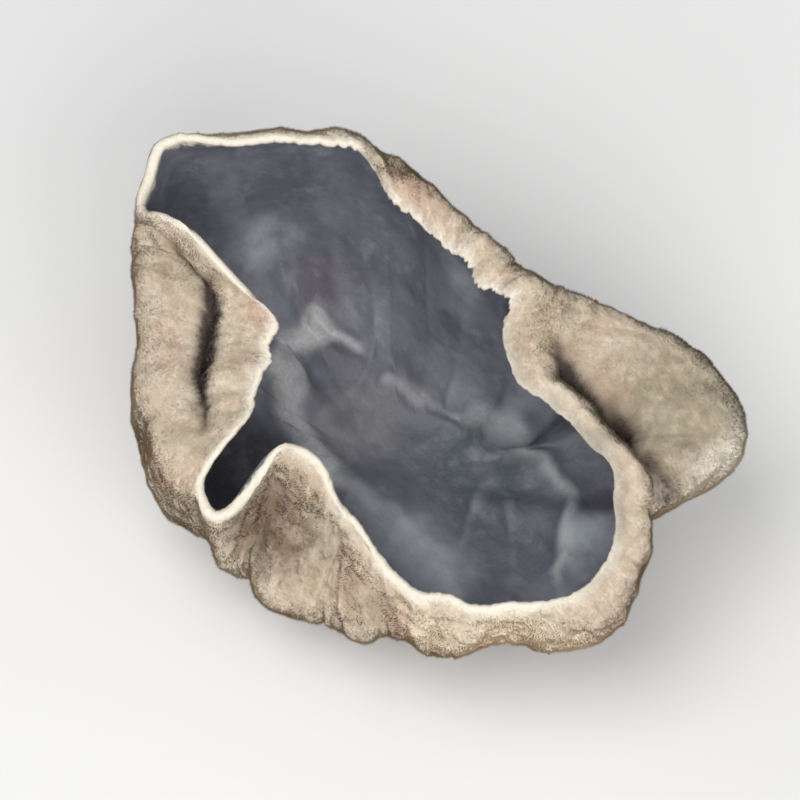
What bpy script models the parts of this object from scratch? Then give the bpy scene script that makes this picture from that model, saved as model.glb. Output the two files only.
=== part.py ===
"""Dried wood ear mushroom: a thin leathery cup, its margin rolled inwards, cut off flat where it grew on wood.

The ear is one closed skin: up the dark inside of the cup, round the thin margin, and down the pale outside to
the cut. Its shape follows a profile in each direction round the cup's axis, and the rim's stations say how far
out and how high that profile goes there, and how the margin curls. Every length below is in millimetres.
"""

from collections import namedtuple

import bmesh
import bpy
import numpy as np
from mathutils import Vector, noise

MM = 0.001

# The sheet's thickness over the stub, low in the wall, at the top of the wall and at the margin's edge
SHEET_THICKNESS = (1.6, 1.0, 0.9, 0.75)

# The cut that the ear stands on: half its length and width, and how the sheet spreads from it
CUT_HALF_LENGTH = 6.3
CUT_HALF_WIDTH = 5.0
CUT_WAVE = 0.05
FLOOR_HEIGHT = 2.6
FLOOR_SPREAD = 1.3
FLOOR_RISE = 0.08
NECK_SPREAD = 1.06

# The cup's axis, measured from the middle of the cut, because the ear grew to one side of it
AXIS_X = 0.6
AXIS_Y = -2.2

# The radius that the margin curls round, and how full the cup's belly is, out and up
CURL_RADIUS = 1.5
BELLY_OUT = 0.66
BELLY_UP = 0.58

# Soft waves of the whole sheet: the size of one, how far it moves the sheet, and where in the noise they start
WAVE_SIZE = 13.0
WAVE_DEPTH = 1.1
WAVE_START = 6.8

# Folds that run up the wall from the stub: how closely they stand round the cup, and their depth
FOLD_SPACING = 4.2
FOLD_DEPTH = 0.7

# Ruffle of the dried margin: how closely its waves stand round the cup, and their height
RUFFLE_SPACING = 8.5
RUFFLE_HEIGHT = 0.8

# The cage: columns round the rim, and rings across the floor and from there to the margin's edge
COLUMNS = 54
FLOOR_RINGS = 2
SHEET_RINGS = 8
MARGIN_CROWDING = 1.5
SUBDIVISIONS = 1

# One station of the rim. direction is round the cup's axis in degrees, reach and height are the top of the
# wall, shoulder and curl are the sheet's turns in degrees before and after the lip, and lip is its straight run.
Station = namedtuple("Station", "direction reach height shoulder lip curl")

RIM = (
    Station(11, 24.9, 13.2, 0, 0.0, 130),      # near corner of the long axis
    Station(20, 24.6, 15.3, 0, 0.0, 160),      # lower end of the rolled margin
    Station(29, 23.2, 16.4, 25, 0.8, 140),     # where the side lobe springs from the wall
    Station(37, 25.8, 15.2, 85, 7.2, 105),     # near edge of the side lobe
    Station(45, 28.2, 15.0, 88, 11.8, 100),    # side lobe
    Station(54, 28.4, 15.4, 86, 14.0, 100),    # tip of the side lobe
    Station(64, 25.0, 16.8, 80, 12.4, 105),    # far edge of the side lobe
    Station(75, 18.2, 20.2, 52, 6.4, 130),     # the lobe runs into the rolled margin
    Station(86, 13.5, 24.0, 0, 0.8, 175),      # notch above the lobe
    Station(101, 12.6, 25.6, 0, 0.0, 170),     # far wall, at the waist
    Station(129, 14.8, 25.8, 10, 0.4, 160),    # far wall
    Station(143, 17.4, 26.2, 66, 2.6, 108),    # broad end of the rolled margin
    Station(150, 19.4, 26.5, 8, 0.2, 115),     # far wall, where the roll narrows
    Station(158, 20.7, 26.4, 0, 0.0, 105),     # far wall, narrow roll
    Station(168, 22.1, 26.0, 0, 0.0, 95),      # far wall, narrow roll
    Station(179, 23.9, 25.4, 0, 0.0, 70),      # dip before the tip
    Station(186, 27.4, 25.8, 0, 0.0, 15),      # tip of the ear
    Station(192, 26.7, 24.0, 0, 0.0, 12),      # open end beside the tip
    Station(197.5, 25.6, 22.4, 0, 0.0, 25),    # foot of the left flap's free edge
    Station(202.5, 24.6, 21.6, 74, 6.8, 30),   # the left flap turns in
    Station(207, 23.8, 21.2, 88, 10.8, 30),    # corner of the left flap
    Station(217, 22.6, 20.8, 88, 10.2, 32),    # left flap
    Station(232, 21.4, 20.2, 86, 8.9, 36),     # left flap, over the floor
    Station(246, 20.2, 19.0, 84, 7.2, 42),     # left flap, lower end
    Station(256, 19.4, 17.8, 66, 4.4, 42),     # the flap closes on the pocket
    Station(264, 18.6, 16.4, 10, 0.4, 15),     # open pocket in the margin
    Station(271, 17.2, 16.4, 0, 0.0, 10),      # the margin turns in beside the pocket
    Station(278, 11.8, 19.4, 0, 0.0, 40),      # high pinch in the near wall
    Station(288, 10.2, 19.6, 0, 0.0, 40),      # round top of the pinch
    Station(297, 10.8, 18.2, 0, 0.0, 30),      # near wall, falling from the pinch
    Station(314, 13.0, 15.8, 0, 0.0, 20),      # near wall
    Station(335, 17.2, 14.0, 0, 0.0, 35),      # near wall
    Station(356, 21.6, 13.0, 0, 0.0, 70),      # near wall, towards the corner
)

# One swelling or hollow of the sheet. along is 1 at the floor's edge, 2 at the top of the wall and 3 at the
# margin's edge; spread is in degrees, run in the units of along, and out is positive where the sheet swells out.
Swelling = namedtuple("Swelling", "direction along spread run out")

SWELLINGS = (
    Swelling(266, 1.60, 7.0, 0.45, -1.2),      # furrow running down from the pocket
    Swelling(238, 1.45, 12.0, 0.35, 1.4),      # belly under the left flap
    Swelling(31, 1.60, 7.0, 0.45, -1.8),       # furrow between the side lobe and the near end
    Swelling(78, 1.55, 7.0, 0.40, -1.4),       # furrow between the side lobe and the far wall
    Swelling(105, 1.28, 38.0, 0.09, -0.7),     # low step where the floor meets the far wall
    Swelling(192, 1.20, 8.0, 0.30, -1.2),      # ridge that runs from the floor towards the left flap
    Swelling(172, 1.55, 8.0, 0.40, 0.9),       # fold towards the tip
    Swelling(325, 1.50, 9.0, 0.35, -0.7),      # fold in the near wall
)

# Where the wall bellies, straight out from the cup's axis
BELLIES = (
    Swelling(287, 1.50, 15.0, 0.33, 7.6),      # under the pinch of the near wall
    Swelling(314, 1.50, 14.0, 0.34, 4.4),      # near wall
    Swelling(338, 1.55, 13.0, 0.32, 1.8),      # near wall, towards the corner
)

# One lean of the wall to its side: how far its top stands round the cup from its foot
Lean = namedtuple("Lean", "direction spread side")

LEANS = (
    Lean(279, 5.5, -2.6),                      # the pinch of the near wall leans over the pocket
    Lean(40, 6.0, 1.2),                        # the near edge of the side lobe leans back over the lobe
)

# One tuck in the lip of a lobe. place and width are parts of the lip's run, and depth is how far it dips.
Tuck = namedtuple("Tuck", "direction spread place width depth")

TUCKS = (
    Tuck(42, 10.0, 0.70, 0.13, 6.0),           # dark tuck between the side lobe and the rolled margin
    Tuck(57, 9.0, 0.80, 0.10, 3.4),            # narrow upper end of the tuck
    Tuck(46, 17.0, 1.08, 0.17, -3.4),          # the rolled margin stands over the tuck
    Tuck(54, 13.0, 0.32, 0.28, -0.9),          # pillow of the side lobe
    Tuck(229, 15.0, 0.62, 0.12, 2.2),          # crease along the left flap
)

# The length of lip from which a tuck has its whole depth
TUCK_LIP = 9.0


def rim_value(direction, field):
    """A rim station's field at any direction, on a smooth closed curve through the stations."""
    turns = np.array([station.direction for station in RIM], dtype=float)
    values = np.array([getattr(station, field) for station in RIM], dtype=float)
    turns = np.concatenate((turns[-2:] - 360.0, turns, turns[:2] + 360.0))
    values = np.concatenate((values[-2:], values, values[:2]))
    slopes = np.zeros_like(values)
    slopes[1:-1] = (values[2:] - values[:-2]) / (turns[2:] - turns[:-2])
    wrapped = np.mod(direction - RIM[0].direction, 360.0) + RIM[0].direction
    left = np.clip(np.searchsorted(turns, wrapped, side="right") - 1, 1, len(turns) - 3)
    span = turns[left + 1] - turns[left]
    part = (wrapped - turns[left]) / span
    rise = 3.0 * part ** 2 - 2.0 * part ** 3
    start_pull = part ** 3 - 2.0 * part ** 2 + part
    end_pull = part ** 3 - part ** 2
    smooth = values[left] * (1.0 - rise) + values[left + 1] * rise
    return smooth + span * (start_pull * slopes[left] + end_pull * slopes[left + 1])


def hump(distance, spread):
    """A soft hump of height 1 at no distance, gone two or three spreads away."""
    return np.exp(-(distance / spread) ** 2)


def turn_between(direction, centre):
    """The shorter turn from one direction to another, in degrees."""
    return np.mod(direction - centre + 180.0, 360.0) - 180.0


def cut_radius(direction):
    """How far the edge of the cut lies from its middle: an oval, slightly wavy."""
    turn = np.radians(direction)
    oval = 1.0 / np.sqrt((np.cos(turn) / CUT_HALF_LENGTH) ** 2 + (np.sin(turn) / CUT_HALF_WIDTH) ** 2)
    return oval * (1.0 + CUT_WAVE * np.sin(5.0 * turn + 1.0) + 0.6 * CUT_WAVE * np.sin(8.0 * turn))


def noise_at(x, y, z):
    """Smooth noise at each point of three arrays, about -0.5 to 0.5 and the same each time."""
    x, y, z = np.broadcast_arrays(x, y, z)
    places = zip(x.ravel(), y.ravel(), z.ravel())
    return np.array([noise.noise(Vector(place)) for place in places]).reshape(x.shape)


def wander(turns, spacing, start):
    """A smooth random line round the cup, about -0.5 to 0.5."""
    return noise_at(spacing * np.cos(turns), spacing * np.sin(turns), start)


def rim_at(columns):
    """Every field of the rim at each column, with the small ruffle of the dried margin."""
    directions = even_directions(columns)
    rim = {field: rim_value(directions, field) for field in Station._fields[1:]}
    rim["direction"] = directions
    rim["share"] = np.arange(columns) * 2.0 * np.pi / columns
    rim["foot"] = FLOOR_SPREAD * cut_radius(directions)
    rim["reach"] = rim["reach"] + RUFFLE_HEIGHT * wander(rim["share"], RUFFLE_SPACING, 1.5)
    rim["height"] = rim["height"] + RUFFLE_HEIGHT * wander(rim["share"], RUFFLE_SPACING, 4.5)
    rim["shoulder"] = np.radians(np.maximum(rim["shoulder"], 0.0))
    rim["curl"] = np.radians(np.maximum(rim["curl"], 5.0))
    rim["lip"] = np.maximum(rim["lip"] + RUFFLE_HEIGHT * wander(rim["share"], RUFFLE_SPACING, 7.5), 0.0)
    return rim


def wall_line(rim, climb):
    """The wall, a curve from the floor's edge, nearly level there, to straight up at the rim."""
    foot_up = FLOOR_HEIGHT + FLOOR_RISE * rim["foot"]
    pull_out = BELLY_OUT * (rim["reach"] - rim["foot"])
    pull_up = BELLY_UP * (rim["height"] - foot_up)
    first = (1.0 - climb) ** 3
    second = 3.0 * climb * (1.0 - climb) ** 2
    third = 3.0 * climb ** 2 * (1.0 - climb)
    last = climb ** 3
    out = (first + second) * rim["foot"] + second * pull_out + (third + last) * rim["reach"]
    up = first * foot_up + second * (foot_up + 2.0 * FLOOR_RISE * pull_out)
    up = up + third * (rim["height"] - pull_up) + last * rim["height"]
    return out, up


def curl_line(rim, part):
    """The margin past the top of the wall: a turn, a straight lip and a second turn."""
    shoulder = rim["shoulder"]
    run = part * (CURL_RADIUS * (shoulder + rim["curl"]) + rim["lip"])
    first_turn = np.minimum(run / CURL_RADIUS, shoulder)
    on_lip = np.clip(run - CURL_RADIUS * shoulder, 0.0, rim["lip"])
    whole_turn = first_turn + np.maximum(run - CURL_RADIUS * shoulder - rim["lip"], 0.0) / CURL_RADIUS
    out = rim["reach"] + CURL_RADIUS * (np.cos(whole_turn) - 1.0) - on_lip * np.sin(shoulder)
    up = rim["height"] + CURL_RADIUS * np.sin(whole_turn) + on_lip * np.cos(shoulder)
    lip_part = on_lip / np.maximum(rim["lip"], 1.0)
    for tuck in TUCKS:
        depth = tuck.depth * hump(turn_between(rim["direction"], tuck.direction), tuck.spread)
        dip = hump(lip_part - tuck.place, tuck.width) * np.minimum(part * 8.0, 1.0)
        up = up - depth * dip * np.minimum(rim["lip"] / TUCK_LIP, 1.0)
    return out, up


def swell(swellings, rim, along):
    """How far some swellings push each point of the sheet."""
    out = 0.0 * along
    for swelling in swellings:
        near = hump(turn_between(rim["direction"], swelling.direction), swelling.spread)
        out = out + swelling.out * near * hump(along - swelling.along, swelling.run)
    return out


def base_sheet(rim, along):
    """The middle of the sheet before its relief, along from 0 on the axis to 3 at the margin's edge."""
    floor_part = np.clip(along, 0.0, 1.0)
    wall_out, wall_up = wall_line(rim, np.clip(along - 1.0, 0.0, 1.0))
    curl_out, curl_up = curl_line(rim, np.clip(along - 2.0, 0.0, 1.0))
    floor_up = FLOOR_HEIGHT + FLOOR_RISE * rim["foot"] * floor_part ** 2
    out = np.where(along <= 1.0, rim["foot"] * floor_part, np.where(along <= 2.0, wall_out, curl_out))
    out = out + swell(BELLIES, rim, along)
    up = np.where(along <= 1.0, floor_up, np.where(along <= 2.0, wall_up, curl_up))
    turn = np.radians(rim["direction"])
    side = np.zeros_like(out)
    for lean in LEANS:
        side = side + lean.side * hump(turn_between(rim["direction"], lean.direction), lean.spread)
    side = side * np.clip(along - 1.0, 0.0, 1.0) ** 2
    leave = np.minimum(along / 1.5, 1.0)
    x = out * np.cos(turn) - side * np.sin(turn) + AXIS_X * leave
    y = out * np.sin(turn) + side * np.cos(turn) + AXIS_Y * leave
    return np.stack((x, y, up), axis=-1)


def waves(points, along):
    """How the soft waves of the dried sheet move each point; the floor over the stub stays."""
    x, y, z = np.moveaxis(points / WAVE_SIZE + WAVE_START, -1, 0)
    moves = np.stack([noise_at(x + shift, y, z) for shift in (0.0, 31.0, 67.0)], axis=-1)
    return moves * WAVE_DEPTH * np.clip(along - 0.9, 0.0, 1.0)[:, :, None]


def relief(rim, along):
    """How far the sheet stands out at each point: its named swellings, and folds that fade towards the rim."""
    x = FOLD_SPACING * np.cos(rim["share"])
    y = FOLD_SPACING * np.sin(rim["share"])
    strength = FOLD_DEPTH * np.interp(along, (0.9, 1.3, 1.7, 2.0, 2.3), (0.0, 0.45, 0.9, 0.6, 0.25))
    return swell(SWELLINGS, rim, along) + 2.0 * strength * noise_at(x, y, 0.9 * along)


def across(points):
    """The direction across the sheet at each point of its grid, towards the inside of the cup."""
    round_cup = np.roll(points, -1, axis=1) - np.roll(points, 1, axis=1)
    up_cup = np.empty_like(points)
    up_cup[1:-1] = points[2:] - points[:-2]
    up_cup[0] = points[1] - points[0]
    up_cup[-1] = points[-1] - points[-2]
    normal = np.cross(up_cup, round_cup)
    normal[0] = (0.0, 0.0, 1.0)
    return normal / np.linalg.norm(normal, axis=-1, keepdims=True)


def even_directions(count):
    """Directions that share out the length of the margin's edge, with some weight on even turns."""
    fine = np.linspace(0.0, 360.0, 1441)
    turn = np.radians(fine)
    turned_in = np.sin(np.radians(np.clip(rim_value(fine, "shoulder"), 0.0, 90.0)))
    reach = rim_value(fine, "reach") - np.maximum(rim_value(fine, "lip"), 0.0) * turned_in
    line = np.stack((reach * np.cos(turn), reach * np.sin(turn), rim_value(fine, "height")), axis=-1)
    steps = np.linalg.norm(np.diff(line, axis=0), axis=1)
    length = np.concatenate(([0.0], np.cumsum(steps + steps.mean())))
    return np.interp(np.linspace(0.0, length[-1], count + 1)[:-1], length, fine)


def ring_places(rim, floor_rings, sheet_rings, crowding):
    """Where each ring crosses the sheet in each direction, closer together towards the margin."""
    fine = np.linspace(1.0, 3.0, 201)[:, None]
    line = base_sheet(rim, fine + 0.0 * rim["reach"])
    steps = np.linalg.norm(np.diff(line, axis=0), axis=-1)
    length = np.vstack((np.zeros(steps.shape[1]), np.cumsum(steps, axis=0)))
    shares = 1.0 - (1.0 - np.linspace(0.0, 1.0, sheet_rings + 1)) ** crowding
    columns = [np.interp(shares * length[-1, c], length[:, c], fine[:, 0]) for c in range(length.shape[1])]
    floor = np.linspace(0.0, 1.0, floor_rings + 1)[:-1, None] + 0.0 * rim["reach"]
    return np.vstack((floor, np.array(columns).T))


def skin_rows(columns, floor_rings, sheet_rings, crowding):
    """The rings of the closed skin, from the middle of the floor to the middle of the cut."""
    rim = rim_at(columns)
    along = ring_places(rim, floor_rings, sheet_rings, crowding)
    sheet = base_sheet(rim, along)
    sheet = sheet + waves(sheet, along)
    sheet = sheet - relief(rim, along)[:, :, None] * across(sheet)
    inwards = across(sheet)
    half = 0.5 * np.interp(along, (1.0, 1.4, 2.2, 3.0), SHEET_THICKNESS)[:, :, None]
    rows = list(sheet + half * inwards)
    tip = sheet[-1] - sheet[-2]
    rows.append(sheet[-1] + 0.9 * half[-1] * tip / np.linalg.norm(tip, axis=-1, keepdims=True))
    rows += list((sheet - half * inwards)[:floor_rings - 1:-1])
    turn = np.radians(rim["direction"])
    edge = cut_radius(rim["direction"])[:, None] * np.column_stack((np.cos(turn), np.sin(turn)))
    neck = 0.45 * (FLOOR_HEIGHT - 0.5 * SHEET_THICKNESS[0])
    for spread, up in ((NECK_SPREAD, neck), (1.0, 0.0), (0.55, 0.0), (0.0, 0.0)):
        rows.append(np.column_stack((edge * spread, np.full(columns, up))))
    return rows


def wrap_skin():
    """A flat grid wrapped into the ear's closed skin, its seam and both its poles welded."""
    rows = skin_rows(COLUMNS, FLOOR_RINGS, SHEET_RINGS, MARGIN_CROWDING)
    skin = bmesh.new()
    bmesh.ops.create_grid(skin, x_segments=COLUMNS, y_segments=len(rows) - 1, size=1.0)
    skin.verts.ensure_lookup_table()
    for row, points in enumerate(rows):
        for column in range(COLUMNS + 1):
            skin.verts[row * (COLUMNS + 1) + column].co = points[column % COLUMNS] * MM
    bmesh.ops.remove_doubles(skin, verts=skin.verts, dist=0.00001)
    crease = skin.edges.layers.float.new("crease_edge")
    for edge in skin.edges:
        on_cut = [all(abs(vert.co.z) < 1e-7 for vert in face.verts) for face in edge.link_faces]
        if any(on_cut) and not all(on_cut):
            edge[crease] = 1.0
    bmesh.ops.recalc_face_normals(skin, faces=skin.faces)
    return skin


def ear_material():
    """The dried sheet, shown here in the tan of its outside."""
    material = bpy.data.materials.new("dried_wood_ear")
    material.use_nodes = True
    shader = material.node_tree.nodes["Principled BSDF"]
    shader.inputs["Base Color"].default_value = (0.46, 0.37, 0.28, 1.0)
    shader.inputs["Roughness"].default_value = 0.85
    shader.inputs["Metallic"].default_value = 0.0
    material.diffuse_color = (0.46, 0.37, 0.28, 1.0)
    return material


def build_wood_ear(collection):
    """The ear itself, one closed solid."""
    mesh = bpy.data.meshes.new("wood_ear")
    skin = wrap_skin()
    skin.to_mesh(mesh)
    skin.free()
    mesh.materials.append(ear_material())
    mesh.shade_smooth()
    ear = bpy.data.objects.new("wood_ear", mesh)
    collection.objects.link(ear)
    smooth = ear.modifiers.new("smooth_skin", "SUBSURF")
    smooth.levels = SUBDIVISIONS
    smooth.render_levels = SUBDIVISIONS


def main():
    """Clears the scene and builds the mushroom."""
    for thing in list(bpy.data.objects):
        bpy.data.objects.remove(thing, do_unlink=True)
    collection = bpy.data.collections.new("dried_mushroom")
    bpy.context.scene.collection.children.link(collection)
    build_wood_ear(collection)


main()
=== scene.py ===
"""Dried wood ear mushroom: the fine skin of its thin cup, the velvet nap of its outside, and a pale stage.

The skin follows the same profile round the cup as the solid that it stands for, at a finer size, and adds
the puckers, ridges and ragged margin of the dried sheet. Shapes are worked out in millimetres and built in
metres.
"""

import math
from collections import namedtuple

import bmesh
import bpy
import numpy as np
from bpy.props import FloatProperty, FloatVectorProperty, IntProperty, PointerProperty
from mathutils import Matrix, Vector, noise


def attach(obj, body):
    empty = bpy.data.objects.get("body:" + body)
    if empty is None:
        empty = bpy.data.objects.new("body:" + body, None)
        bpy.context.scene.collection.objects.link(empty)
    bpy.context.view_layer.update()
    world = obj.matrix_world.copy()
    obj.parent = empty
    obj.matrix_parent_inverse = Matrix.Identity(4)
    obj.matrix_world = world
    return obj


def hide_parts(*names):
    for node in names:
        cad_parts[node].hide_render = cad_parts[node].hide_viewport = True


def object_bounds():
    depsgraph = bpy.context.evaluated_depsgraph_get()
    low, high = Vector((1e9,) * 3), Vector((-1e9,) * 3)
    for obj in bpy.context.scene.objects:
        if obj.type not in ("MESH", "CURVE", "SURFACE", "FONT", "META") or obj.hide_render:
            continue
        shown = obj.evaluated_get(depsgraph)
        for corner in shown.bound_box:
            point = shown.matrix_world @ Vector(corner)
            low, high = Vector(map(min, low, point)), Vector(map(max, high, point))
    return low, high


bl_info = {
    "name": "Dried Wood Ear",
    "version": (1, 0, 0),
    "blender": (4, 5, 0),
    "location": "3D Viewport > Sidebar > Wood Ear",
    "description": "Builds a dried wood ear mushroom with a satin inside and a velvety outside",
    "category": "Add Mesh",
}

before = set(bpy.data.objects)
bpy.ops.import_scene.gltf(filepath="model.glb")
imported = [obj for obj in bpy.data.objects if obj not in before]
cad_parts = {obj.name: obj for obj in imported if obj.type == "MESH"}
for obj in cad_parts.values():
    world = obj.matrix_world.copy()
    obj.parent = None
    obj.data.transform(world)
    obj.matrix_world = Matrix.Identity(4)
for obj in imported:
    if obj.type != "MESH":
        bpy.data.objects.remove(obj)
CAD_LOW, CAD_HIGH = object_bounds()

MM = 0.001

# The sheet's thickness over the stub, low in the wall, at the top of the wall and at the margin's edge
SHEET_THICKNESS = (1.6, 1.0, 0.85, 0.55)

# The cut that the ear stands on: half its length and width, how wavy its edge is, and its rings
CUT_HALF_LENGTH = 6.3
CUT_HALF_WIDTH = 5.0
CUT_WAVE = 0.05
CUT_RINGS = 8

# The floor over the stub: its height, how many times wider than the cut it is, and how much its edge rises
FLOOR_HEIGHT = 2.6
FLOOR_SPREAD = 1.3
FLOOR_RISE = 0.08

# The neck under the floor: halfway down, how wide it is beside the cut and how high beside the floor
NECK_SPREAD = 1.06
NECK_SHARE = 0.45
NECK_RINGS = 6
NECK_STEPS = [ring / NECK_RINGS for ring in range(1, NECK_RINGS + 1)]

# The cup's axis, measured from the middle of the cut, because the ear grew to one side of it
AXIS_X = 0.6
AXIS_Y = -2.2

# The radius that the margin curls round, and how full the cup's belly is, out and up
CURL_RADIUS = 1.5
BELLY_OUT = 0.66
BELLY_UP = 0.58

# Soft waves of the whole sheet, folds that run up the wall, and the ruffle of the margin
WAVE_SIZE = 13.0
WAVE_DEPTH = 1.1
WAVE_START = 6.8
FOLD_SPACING = 4.2
RUFFLE_SPACING = 8.5
RUFFLE_HEIGHT = 0.8

# How closely the outside's puckers stand round the cup: the radius of the circle that their noise is read on
PUCKER_SPACING = 13.0

# How high the puckers stand, from the floor's edge (along 1) to near the margin's edge (along 3)
PUCKER_FADE = ((1.0, 1.12, 1.35, 1.7, 2.0, 2.6), (0.7, 0.8, 0.9, 0.45, 0.28, 0.15))

# How deep the folds are, from the floor's edge (along 1) to past the top of the wall (along 2)
FOLD_FADE = ((0.9, 1.3, 1.7, 2.0, 2.3), (0.0, 0.45, 0.9, 0.6, 0.25))

# The margin's round edge: how far its rings are turned from the inside to the outside, in degrees
EDGE_TURNS = (40.0, 90.0, 140.0)

# The run of the sheet over which its fine relief dies away at the margin's edge
SETTLED_EDGE = 0.8

# Parts of the skin, as their faces' material slots
INSIDE, OUTSIDE, CUT = 0, 1, 2

# One station of the rim. direction is round the cup's axis in degrees, reach and height are the top of the
# wall, shoulder and curl are the sheet's turns in degrees before and after the lip, and lip is its
# straight run.
Station = namedtuple("Station", "direction reach height shoulder lip curl")

RIM = (
    Station(11, 24.9, 13.2, 0, 0.0, 130),      # near corner of the long axis
    Station(20, 24.6, 15.3, 0, 0.0, 160),      # lower end of the rolled margin
    Station(29, 23.2, 16.4, 25, 0.8, 140),     # where the side lobe springs from the wall
    Station(37, 25.8, 15.2, 85, 7.2, 105),     # near edge of the side lobe
    Station(45, 28.2, 15.0, 88, 11.8, 100),    # side lobe
    Station(54, 28.4, 15.4, 86, 14.0, 100),    # tip of the side lobe
    Station(64, 25.0, 16.8, 80, 12.4, 105),    # far edge of the side lobe
    Station(75, 18.2, 20.2, 52, 6.4, 130),     # the lobe runs into the rolled margin
    Station(86, 13.5, 24.0, 0, 0.8, 175),      # notch above the lobe
    Station(101, 12.6, 25.6, 0, 0.0, 170),     # far wall, at the waist
    Station(129, 14.8, 25.8, 10, 0.4, 160),    # far wall
    Station(143, 17.4, 26.2, 66, 2.6, 108),    # broad end of the rolled margin
    Station(150, 19.4, 26.5, 8, 0.2, 115),     # far wall, where the roll narrows
    Station(158, 20.7, 26.4, 0, 0.0, 105),     # far wall, narrow roll
    Station(168, 22.1, 26.0, 0, 0.0, 95),      # far wall, narrow roll
    Station(179, 23.9, 25.4, 0, 0.0, 70),      # dip before the tip
    Station(186, 27.4, 25.8, 0, 0.0, 15),      # tip of the ear
    Station(192, 26.7, 24.0, 0, 0.0, 12),      # open end beside the tip
    Station(197.5, 25.6, 22.4, 0, 0.0, 25),    # foot of the left flap's free edge
    Station(202.5, 24.6, 21.6, 74, 6.8, 30),   # the left flap turns in
    Station(207, 23.8, 21.2, 88, 10.8, 30),    # corner of the left flap
    Station(217, 22.6, 20.8, 88, 10.2, 32),    # left flap
    Station(232, 21.4, 20.2, 86, 8.9, 36),     # left flap, over the floor
    Station(246, 20.2, 19.0, 84, 7.2, 42),     # left flap, lower end
    Station(256, 19.4, 17.8, 66, 4.4, 42),     # the flap closes on the pocket
    Station(264, 18.6, 16.4, 10, 0.4, 15),     # open pocket in the margin
    Station(271, 17.2, 16.4, 0, 0.0, 10),      # the margin turns in beside the pocket
    Station(278, 11.8, 19.4, 0, 0.0, 40),      # high pinch in the near wall
    Station(288, 10.2, 19.6, 0, 0.0, 40),      # round top of the pinch
    Station(297, 10.8, 18.2, 0, 0.0, 30),      # near wall, falling from the pinch
    Station(314, 13.0, 15.8, 0, 0.0, 20),      # near wall
    Station(335, 17.2, 14.0, 0, 0.0, 35),      # near wall
    Station(356, 21.6, 13.0, 0, 0.0, 70),      # near wall, towards the corner
)

# One swelling or hollow of the sheet. along is 1 at the floor's edge, 2 at the top of the wall and 3 at the
# margin's edge; spread is in degrees, run in the units of along, and out is positive where it swells out.
Swelling = namedtuple("Swelling", "direction along spread run out")

SWELLINGS = (
    Swelling(266, 1.60, 7.0, 0.45, -1.2),      # furrow running down from the pocket
    Swelling(238, 1.45, 12.0, 0.35, 1.4),      # belly under the left flap
    Swelling(31, 1.60, 7.0, 0.45, -1.8),       # furrow between the side lobe and the near end
    Swelling(78, 1.55, 7.0, 0.40, -1.4),       # furrow between the side lobe and the far wall
    Swelling(105, 1.28, 38.0, 0.09, -0.7),     # low step where the floor meets the far wall
    Swelling(192, 1.20, 8.0, 0.30, -1.2),      # ridge that runs from the floor towards the left flap
    Swelling(172, 1.55, 8.0, 0.40, 0.9),       # fold towards the tip
    Swelling(325, 1.50, 9.0, 0.35, -0.7),      # fold in the near wall
)

# Where the wall bellies, straight out from the cup's axis
BELLIES = (
    Swelling(287, 1.50, 15.0, 0.33, 7.6),      # under the pinch of the near wall
    Swelling(314, 1.50, 14.0, 0.34, 4.4),      # near wall
    Swelling(338, 1.55, 13.0, 0.32, 1.8),      # near wall, towards the corner
)

# One lean of the wall to its side: how far its top stands round the cup from its foot
Lean = namedtuple("Lean", "direction spread side")

LEANS = (
    Lean(279, 5.5, -2.6),                      # the pinch of the near wall leans over the pocket
    Lean(40, 6.0, 1.2),                        # the near edge of the side lobe leans back over the lobe
)

# One tuck in the lip of a lobe. place and width are parts of the lip's run, and depth is how far it dips.
Tuck = namedtuple("Tuck", "direction spread place width depth")

TUCKS = (
    Tuck(42, 10.0, 0.70, 0.11, 6.0),           # dark tuck between the side lobe and the rolled margin
    Tuck(57, 9.0, 0.80, 0.08, 3.4),            # narrow upper end of the tuck
    Tuck(46, 17.0, 1.08, 0.17, -3.4),          # the rolled margin stands over the tuck
    Tuck(54, 13.0, 0.32, 0.28, -0.9),          # pillow of the side lobe
    Tuck(226, 22.0, 0.48, 0.10, 2.6),          # crease along the left flap
)

# The length of lip from which a tuck has its whole depth
TUCK_LIP = 9.0

# One soft ridge of the inside: the line that it runs along, seen from above, its width and its height
Ridge = namedtuple("Ridge", "line width height")

RIDGES = (
    Ridge(((-15.0, 0.6), (-14.6, -3.0), (-10.2, -5.6), (-4.5, -6.4)), 1.5, 0.9),  # beside the left flap
    Ridge(((-11.0, 3.0), (-14.8, 1.0)), 0.8, 0.5),                            # its bend at the far wall
    Ridge(((-8.0, 3.2), (-1.8, 6.4), (3.0, 8.2), (7.0, 8.7)), 1.1, 0.42),     # floor's edge, far side
    Ridge(((8.6, 8.8), (11.5, 8.4), (14.6, 6.4), (17.0, 3.0)), 1.1, 0.45),    # floor's edge, low end
    Ridge(((-2.0, -5.6), (3.0, -3.8), (8.0, -3.6), (13.0, -5.0)), 1.4, 0.4),  # floor's edge, near side
)

# How far the ridges wander from their lines
RIDGE_WANDER = 0.8

# How much the margin is crumbled in each direction, and the run of the sheet over which its bites fade
CRUMBLED = ((11, 0.25), (60, 0.4), (95, 1.0), (175, 0.8), (200, 0.4), (250, 0.4), (290, 0.25), (371, 0.25))
NIBBLED_RUN = 1.8

# One tinted place of a face: its middle, how far it spreads, and which of the face's colours it takes
Tint = namedtuple("Tint", "middle spread colour")

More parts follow.
